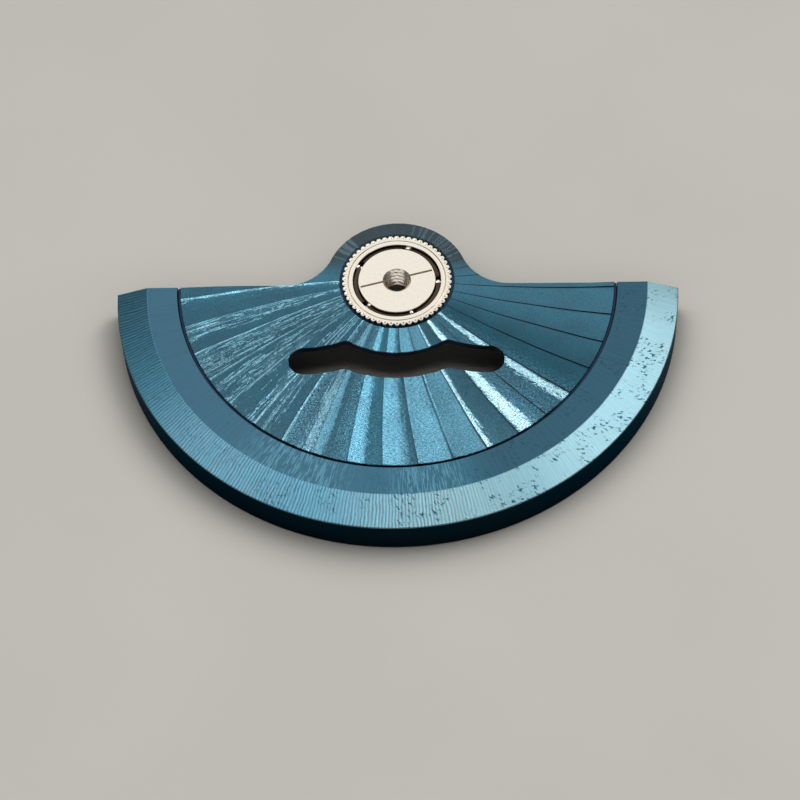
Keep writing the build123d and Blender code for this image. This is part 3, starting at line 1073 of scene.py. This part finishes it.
# The plate's lower half reaches further out and forms the floor of the groove beside the band
plateFlange = {
    "chord": 0.18,
    "steps": 360,
    # The flange lies in painted shade
    "ends": "recessPaintedShade",
    "profile": [
        (10.18, 0.88, "recessPaintedShade"),
        (10.18, 1.04, "recessPaintedShade"),
        (10.285, 1.04, "recessPaintedShade"),
        (10.30, 1.025, "recessPaintedShade"),
        (10.30, 0.88, "recessPaintedShade"),
    ],
}


def halfRing(name, size, cadNode, sharpAngle):
    # Sweeps the profile round the bearing's axis, down to the plane of the straight side
    profile, steps = size["profile"], size["steps"]
    slotNames = list(dict.fromkeys(slot for _, _, slot in profile))
    rows = [(radius, height, slotNames.index(slot)) for radius, height, slot in profile]
    turns = []
    for radius, _, _ in rows:
        drop = math.asin(size["chord"] / radius)
        turns.append([-drop - (math.pi - 2 * drop) * k / steps for k in range(steps + 1)])
    points, faces, slots, uvs = sweep(rows, turns, False, rimUvRadius)
    for k in (0, steps):
        faces.append([i * (steps + 1) + k for i in range(len(rows))])
        slots.append(slotNames.index(size["ends"]))
        uvs.append([row[:2] for row in rows])
    piece = writeMesh(name, points, faces, slots, slotNames, {"turnPlace": uvs}, sharpAngle)
    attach(piece, "rotor")
    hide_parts(cadNode)


halfRing("rimWeight", rimWeight, "rim_weight", 4.5)
halfRing("plateFlange", plateFlange, "rotor_plate", 30)
print("rim weight made")


# Drive pinion: the serrated lip with its punch marks, the neck and sleeve, and the teeth below

drivePinion = {
    "bumps": 54,
    "bumpTurn": 3.9,  # degrees
    "bumpRadius": 2.55,
    "tip": 2.585,
    "notch": 0.095,  # depth of the notches between bumps
    "notchHalf": 0.085,
    "crown": 0.020,
    "edge": 0.020,
    "top": 1.25,
    "dentDepth": 0.022,
    "teeth": 44,
    "toothFlank": (0.10, 0.36),  # share of the pitch where a flank starts and ends
    "toothTip": 2.99,
    "toothRoot": 2.70,
    "toothBottom": 0.28,
    "toothTop": 0.80,
}


def makePinion(size):
    pitch = 2 * math.pi / size["bumps"]
    firstBump = math.radians(size["bumpTurn"])

    def fromBump(angle):
        # Distance along the lip from the middle of the nearest bump, in mm
        turn = (angle - firstBump + pitch / 2) % pitch - pitch / 2
        return abs(turn) * size["bumpRadius"]

    def lipRadius(back):
        def radius(angle):
            away = fromBump(angle)
            half = pitch * size["bumpRadius"] / 2
            notch = max(0.0, 1 - (half - away) / size["notchHalf"])
            return size["tip"] - size["notch"] * notch - size["crown"] * (away / half) ** 2 - back
        return radius

    def dent(share, width):
        def height(angle):
            closeness = max(0.0, 1 - fromBump(angle) / width)
            return top - size["dentDepth"] * share * min(1.0, closeness * 1.6)
        return height

    top = size["top"]
    rows = [
        (2.15, 0.12, 0), (2.15, 0.22, 0), (2.30, 0.22, 0), (2.30, 1.235, 0), (2.315, top, 0),
        (2.36, top, 0), (2.425, top, 0), (2.437, dent(1.0, 0.056), 0),
        (2.455, dent(1.0, 0.052), 0), (2.485, dent(0.65, 0.045), 0), (2.512, dent(0.2, 0.035), 0),
        (2.525, top, 0), (lipRadius(size["edge"]), top, 0), (lipRadius(0.005), 1.238, 0),
        (lipRadius(0), 1.22, 0), (lipRadius(0), 1.05, 0), (2.42, 1.05, 0), (2.42, 0.88, 0),
        (2.70, 0.88, 0), (2.70, 0.80, 0), (2.50, 0.80, 0), (2.50, 0.135, 0), (2.485, 0.12, 0),
    ]
    lip = latheMesh("serratedLip", rows, size["bumps"] * 20, ["bearingSteel"], 32)
    toothPitch = 2 * math.pi / size["teeth"]

    def toothRadius(angle):
        turn = abs((angle + toothPitch / 2) % toothPitch - toothPitch / 2) / toothPitch
        start, end = size["toothFlank"]
        share = min(1.0, max(0.0, (turn - start) / (end - start)))
        flank = 1 - share ** 0.85
        return size["toothRoot"] + (size["toothTip"] - size["toothRoot"]) * flank

    def toothEdge(angle):
        return toothRadius(angle) - 0.012

    low, high = size["toothBottom"], size["toothTop"]
    toothRows = [
        (2.50, low, 0), (2.50, high, 0), (toothEdge, high, 0), (toothRadius, high - 0.015, 0),
        (toothRadius, low + 0.015, 0), (toothEdge, low, 0),
    ]
    teeth = latheMesh("pinionTeeth", toothRows, size["teeth"] * 24, ["toothSteel"], 32)
    for piece in (lip, teeth):
        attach(piece, "rotor")
        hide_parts("drive_pinion")


makePinion(drivePinion)


# Outer race, and the threaded core with its scribed line

outerRace = {"inner": 2.07, "outer": 2.298, "bottom": 0.22, "top": 1.25, "edge": 0.018,
             "groove": 2.20}
ballHeight = 0.70
ballReach = 0.252 * math.sqrt(2)  # from a ball's middle to the point of its 45 degree groove
grooveMouth = ballReach - 0.125
grooveFloor = ballReach - 0.255


def makeOuterRace(size):
    inner, outer, groove, edge = (size[key] for key in ("inner", "outer", "groove", "edge"))
    low, high = size["bottom"], size["top"]
    rows = [
        (inner + edge, low, 0), (outer, low, 0), (outer, high - 0.035, 0),
        (outer - 0.032, high, 0), (inner + edge, high, 0), (inner, high - edge, 0),
        (inner, ballHeight + grooveMouth, 0), (groove, ballHeight + grooveFloor, 0),
        (groove, ballHeight - grooveFloor, 0), (inner, ballHeight - grooveMouth, 0),
        (inner, low + edge, 0),
    ]
    piece = latheMesh("outerRaceRing", rows, 288, ["raceSteel"], 25)
    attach(piece, "rotor")
    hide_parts("outer_race")


threadedCore = {
    "radius": 1.82,
    "minor": 0.565,
    "major": 0.665,
    "pitch": 0.25,
    "top": 1.25,
    "edge": 0.02,
    "leadIn": 0.06,
    "stem": 1.25,
    "groove": 1.69,
    "threadRows": 64,
    "markAngle": 15.4,  # degrees
    "markOffset": 0.10,
    "markWidth": 0.105,
    "markDepth": 0.030,
    "markReach": 1.74,
}


def makeThreadedCore(size):
    top, stem, turns = size["top"], size["stem"], size["threadRows"]
    slotNames = ["raceSteel", "threadSteel", "scribedDark"]

    def thread(height):
        def radius(angle):
            phase = (height / size["pitch"] - angle / (2 * math.pi)) % 1
            peak = abs(phase - 0.5) * 2  # 1 at the crest that points inwards
            cut = min(1.0, max(0.0, (0.85 - peak) / 0.70))
            return size["minor"] + (size["major"] - size["minor"]) * cut
        return radius

    def lead(height, widen):
        # The thread runs out into the lead-in at both ends
        inner = thread(height)
        return lambda angle: max(inner(angle), size["minor"] + widen)

    rows = [(size["major"], 0.0, 1)]
    for n in range(1, turns):
        height = (top - size["leadIn"]) * n / turns
        rows.append((thread(height) if n > 3 else lead(height, 0.14 - 0.03 * n), height, 1))
    rows += [
        (lead(top - size["leadIn"], 0.02), top - size["leadIn"], 1),
        (size["minor"] + 0.080, top - 0.022, 0),
        (size["minor"] + 0.100, top, 0),
        (stem, top, 0),
        (size["radius"] - size["edge"], top, 0),
        (size["radius"], top - size["edge"], 0),
        (size["radius"], ballHeight + grooveMouth, 0),
        (size["groove"], ballHeight + grooveFloor, 0),
        (size["groove"], ballHeight, 0),
        (stem, ballHeight, 0),
        (stem, 0.0, 0),
    ]
    piece = latheMesh("threadedCore", rows, 192, slotNames, 28)
    # The scribed line is a shallow V cut from edge to hole
    along, side = waysAt(math.radians(size["markAngle"]))
    width, depth = size["markWidth"], size["markDepth"]
    corners = [
        along * end + side * (size["markOffset"] + out) + Vector((0, 0, top + up))
        for end in (-size["markReach"], size["markReach"])
        for out, up in ((width, depth), (-width, depth), (0, -depth))
    ]
    faces = [(0, 1, 4, 3), (1, 2, 5, 4), (2, 0, 3, 5), (0, 1, 2), (3, 4, 5)]
    slots = [slotNames.index("scribedDark")] * len(faces)
    cutter = writeMesh("markCutter", corners, faces, slots, slotNames, {}, 28)
    cut = piece.modifiers.new("mark", "BOOLEAN")
    cut.operation = "DIFFERENCE"
    cut.solver = "EXACT"
    cut.object = cutter
    graph = bpy.context.evaluated_depsgraph_get()
    finished = bpy.data.meshes.new_from_object(piece.evaluated_get(graph))
    piece.modifiers.clear()
    piece.data = finished
    bpy.data.objects.remove(cutter)
    piece.data.set_sharp_from_angle(angle=math.radians(28))
    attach(piece, "core")
    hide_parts("threaded_core")


makeOuterRace(outerRace)
makeThreadedCore(threadedCore)
print("bearing made")


# Pieces that keep their CAD shape take a finish

def dressNode(name, finish):
    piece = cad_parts[name]
    piece.data.materials.clear()
    piece.data.materials.append(materials[finish])


# The cage's brass is darkened as painted shade
dressNode("ball_cage", "cageBrassPaintedShade")
dressNode("lower_cone", "raceSteel")
for number in range(1, 6):
    dressNode(f"ball_{number}", "ballSteel")


# Floor and light

floorLook = {
    "colour": (0.635, 0.615, 0.565),
    "level": -1.05,
    "half": 1500,
    "roughness": 0.75,
    "specular": 0.25,
    "closeness": 5.0,  # mm, how far the shade of a piece reaches
    "closeShade": 0.05,
}


def makeFloor(look):
    half, level = look["half"], look["level"]
    material, tree, surface = newMaterial("paleFloor")
    shade = noise(objectMillimetres(tree), 0.06, 3.0).remap(0.2, 0.8, 0.97, 1.03)
    # Painted shade: the floor's colour darkens where something lies close above it
    opening = addNode(
        tree, "ShaderNodeAmbientOcclusion", {"samples": 8},
        {"Distance": look["closeness"] * mm}, "AO",
    )
    paintedContactShade = opening.remap(0.0, 0.9, look["closeShade"], 1.0)
    feedInputs(surface, {
        "Base Color": scaled(scaled(look["colour"], shade), paintedContactShade),
        "Roughness": look["roughness"], "Specular IOR Level": look["specular"],
    })
    mesh = bpy.data.meshes.new("paleFloor")
    corners = [(-half, -half), (half, -half), (half, half), (-half, half)]
    mesh.from_pydata([(x * mm, y * mm, level * mm) for x, y in corners], [], [(0, 1, 2, 3)])
    mesh.materials.append(material)
    floor = addObject("paleFloor", mesh)


makeFloor(floorLook)

# Each window of light: the way to it from the hub, the way that its long side runs, its two
# sizes in degrees, and its brightness
lightWindows = {
    "bevelWindow": ((0.541, 0.237, 0.808), (0.22, 0.58, -0.31), (42, 16), 4.3),
    "topWindow": ((0.10, -0.135, 0.984), (1, 0, 0), (24, 10), 3.4),
    "frontWindow": ((0.0, -0.76, 0.65), (1, 0, 0), (96, 17), 0.8),
    "leftWindow": ((-0.40, 0.02, 0.915), (-0.6, 0.35, -0.3), (44, 10), 2.3),
    "rightLamp": ((0.367, 0.175, 0.913), (0.22, 0.58, -0.31), (4, 4), 6),
    "leftLamp": ((-0.228, 0.048, 0.972), (1, 0, 0), (4, 4), 8),
}
lightSetting = {
    "distance": 600,  # mm
    "turn": 2.92,  # degrees round the hub
    "centre": (0, -4, 0),  # mm, the place that the windows face
    "ceiling": 0.35,
    "horizon": 0.05,
    "near": 0.14,
    "panel": 0.80,
    "panelWay": (-0.028, 0.548, 0.836),
    "panelSides": (1.2, 0.8),  # brightness at its left and right
}


def makeWindows(windows, setting):
    turn = Matrix.Rotation(math.radians(setting["turn"]), 3, "Z")
    for name, (way, long, sizes, glow) in windows.items():
        toward = (turn @ Vector(way)).normalized()
        long = turn @ Vector(long)
        across = (long - toward * long.dot(toward)).normalized()
        data = bpy.data.lights.new(name, "AREA")
        data.shape = "RECTANGLE"
        data.size, data.size_y = (
            2 * math.tan(math.radians(angle / 2)) * setting["distance"] * mm for angle in sizes
        )
        data.energy = glow * data.size * data.size_y * math.pi
        place = toward * setting["distance"] + Vector(setting["centre"])
        aim(addObject(name, data), place, across, toward.cross(across), toward)


def makeWorld(setting):
    world = bpy.data.worlds.new("softCeiling")
    bpy.context.scene.world = world
    world.use_nodes = True
    tree = world.node_tree
    way = addNode(tree, "ShaderNodeTexCoord", output="Generated")
    east, north, height = splitPlace(way)
    # Whoever takes the picture keeps the light off the near side
    near = north.remap(-0.12, -0.62, 1.0, setting["near"])
    strength = height.remap(0.2, 0.75, setting["horizon"], setting["ceiling"]) * near
    # The wide panel that level faces mirror
    closeness = vectorMaths("DOT_PRODUCT", way, setting["panelWay"], output="Value")
    sides = east.remap(-0.35, 0.35, *setting["panelSides"], smooth=False)
    strength = strength + closeness.remap(0.82, 0.97, 0.0, setting["panel"]) * sides
    # The camera sees plain white
    seen = addNode(tree, "ShaderNodeLightPath", output="Is Camera Ray")
    feedInputs(tree.nodes["Background"], {
        "Color": (1, 1, 1), "Strength": seen + (1.0 - seen) * strength,
    })


makeWindows(lightWindows, lightSetting)
makeWorld(lightSetting)
bpy.context.scene.view_settings.view_transform = "Standard"
print("light set")
